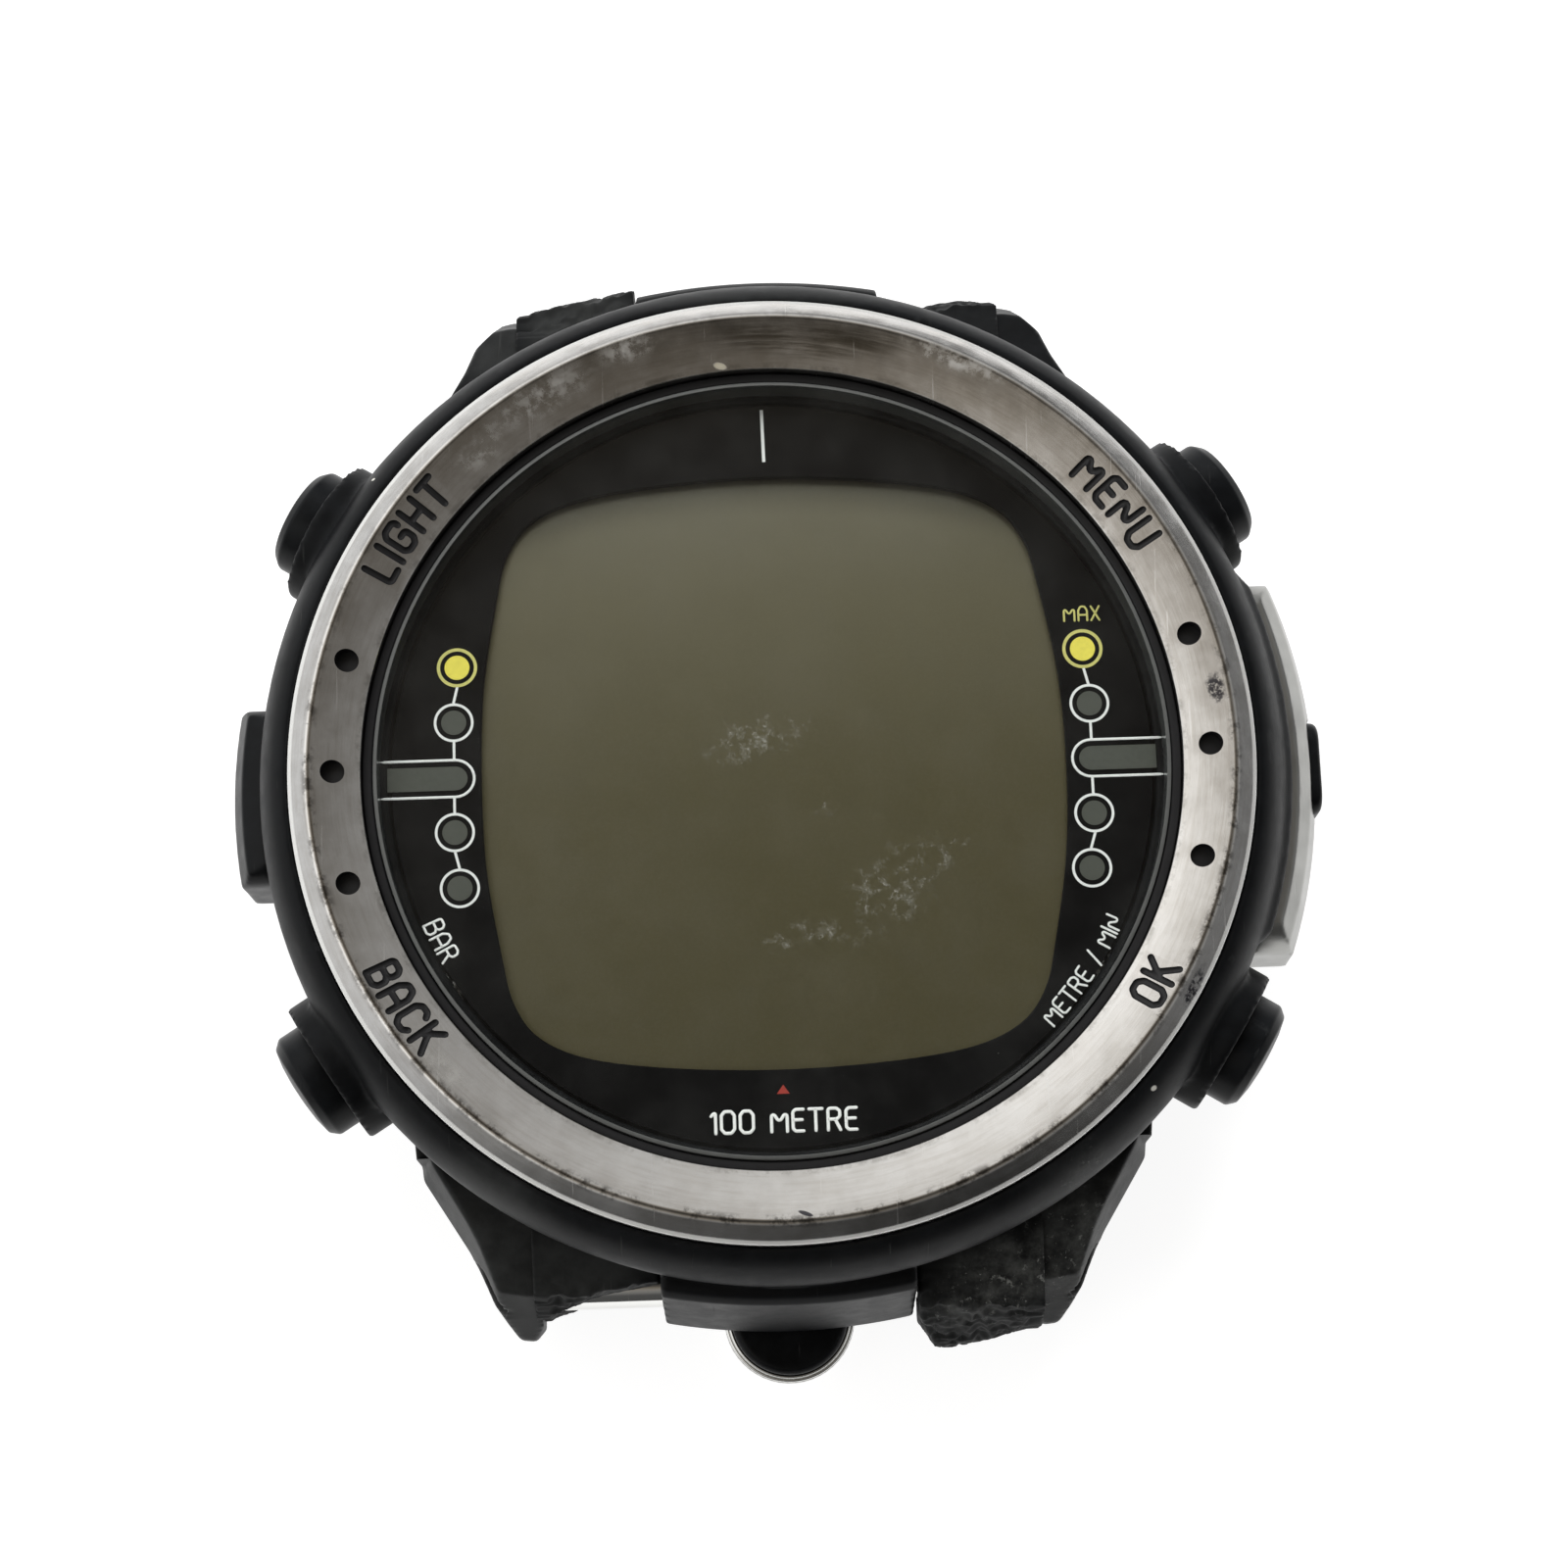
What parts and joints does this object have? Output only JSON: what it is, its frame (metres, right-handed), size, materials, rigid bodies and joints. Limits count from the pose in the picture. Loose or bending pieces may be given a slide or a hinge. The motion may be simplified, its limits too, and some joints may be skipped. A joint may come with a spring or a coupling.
{
  "type": "dive computer",
  "caption": "Round wrist dive computer head with a steel bezel, flat display crystal, sprung side buttons, side data port, screwed back and torn strap ends.",
  "frame": {"origin": "centre of the back plate's flat outer face, on the case axis", "axes": "+Z out of the display, +Y towards 12 o'clock, +X towards 3 o'clock"},
  "size_m": [0.0546, 0.057, 0.0157],
  "materials": {
    "case_polymer": "matte black, finely textured",
    "bezel_steel": "worn satin steel with polished chamfer",
    "black_rubber": "matte black",
    "grey_silicone": "translucent grey",
    "crystal_glass": "clear polished",
    "dial_print": "gloss black print",
    "lcd": "olive grey reflective display",
    "clear_plastic": "clear moulded",
    "module_plastic": "moulded dark grey",
    "pcb": "green solder mask",
    "chip_epoxy": "matte epoxy",
    "switch_metal": "bright",
    "fastener_steel": "turned steel",
    "battery_steel": "nickel plated",
    "contact_gold": "gold plated",
    "cover_polymer": "matte black moulded",
    "satin_steel": "satin steel, lightly worn",
    "back_steel": "turned satin steel",
    "strap_rubber": "torn black elastomer, scuffed",
    "button_polymer": "matte black",
    "spring_steel": "drawn wire"
  },
  "bodies": {
    "housing": {"case": "case_polymer", "bezel": "bezel_steel", "bezel_gasket": "black_rubber", "crystal_seal": "grey_silicone", "crystal": "crystal_glass", "dial_mask": "dial_print", "lcd_glass": "lcd", "light_guide": "clear_plastic", "lcd_frame": "module_plastic", "zebra_strips": "grey_silicone", "main_pcb": "pcb", "chips": "chip_epoxy", "switches": "switch_metal", "module_frame": "module_plastic", "module_screws": "fastener_steel", "battery": "battery_steel", "battery_contacts": "contact_gold", "buzzer": "contact_gold", "pressure_sensor": "fastener_steel", "sensor_cover": "cover_polymer", "sensor_cover_screws": "fastener_steel", "data_port_plate": "satin_steel", "data_port_pad": "cover_polymer", "data_contacts": "contact_gold", "data_port_screws": "fastener_steel", "back_plate": "back_steel", "tongue_pad": "cover_polymer", "back_gasket": "black_rubber", "back_screws": "fastener_steel", "strap_tubes": "fastener_steel", "strap_stub_ul": "strap_rubber", "strap_stub_ur": "strap_rubber", "strap_stub_ll": "strap_rubber", "strap_stub_lr": "strap_rubber", "button_bushes": "fastener_steel", "stem_seals": "black_rubber", "button_spring_ul": "spring_steel", "button_spring_ur": "spring_steel", "button_spring_ll": "spring_steel", "button_spring_lr": "spring_steel"},
    "button_ul_body": {"button_ul": "button_polymer", "button_clip_ul": "fastener_steel"},
    "button_ur_body": {"button_ur": "button_polymer", "button_clip_ur": "fastener_steel"},
    "button_ll_body": {"button_ll": "button_polymer", "button_clip_ll": "fastener_steel"},
    "button_lr_body": {"button_lr": "button_polymer", "button_clip_lr": "fastener_steel"}
  },
  "joints": [
    {"name": "press_ul", "type": "slide", "parent": "housing", "child": "button_ul_body", "axis": [0.848, -0.5299, 0], "range_m": [0, 0.001], "stiffness_N_per_m": 1200, "springref_m": -0.001, "deforming": ["button_spring_ul"]},
    {"name": "press_ur", "type": "slide", "parent": "housing", "child": "button_ur_body", "axis": [-0.848, -0.5299, 0], "range_m": [0, 0.001], "stiffness_N_per_m": 1200, "springref_m": -0.001, "deforming": ["button_spring_ur"]},
    {"name": "press_ll", "type": "slide", "parent": "housing", "child": "button_ll_body", "axis": [0.848, 0.5299, 0], "range_m": [0, 0.001], "stiffness_N_per_m": 1200, "springref_m": -0.001, "deforming": ["button_spring_ll"]},
    {"name": "press_lr", "type": "slide", "parent": "housing", "child": "button_lr_body", "axis": [-0.848, 0.5299, 0], "range_m": [0, 0.001], "stiffness_N_per_m": 1200, "springref_m": -0.001, "deforming": ["button_spring_lr"]}
  ]
}
